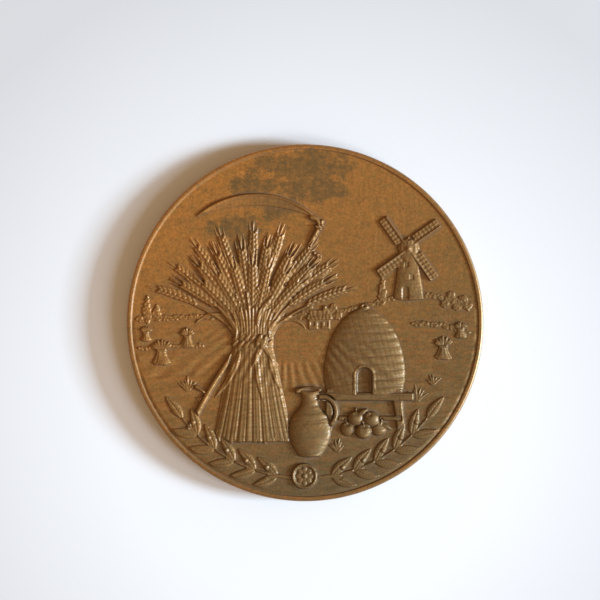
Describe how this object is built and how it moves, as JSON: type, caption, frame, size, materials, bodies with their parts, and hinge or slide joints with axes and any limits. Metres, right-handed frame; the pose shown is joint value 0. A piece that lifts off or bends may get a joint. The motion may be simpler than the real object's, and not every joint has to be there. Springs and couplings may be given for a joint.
{
  "type": "commemorative medal",
  "caption": "Round struck bronze table medal with a narrow raised rim and a harvest still life in relief; plain reverse.",
  "frame": {"origin": "centre of the reverse, on the plane that the reverse rim rests on", "axes": "+Z out of the obverse, +Y to the top of the picture, +X to its right"},
  "size_m": [0.06, 0.06, 0.0047],
  "materials": {
    "bronze": "patinated satin bronze"
  },
  "bodies": {
    "root": {"medal": "bronze"}
  },
  "joints": []
}
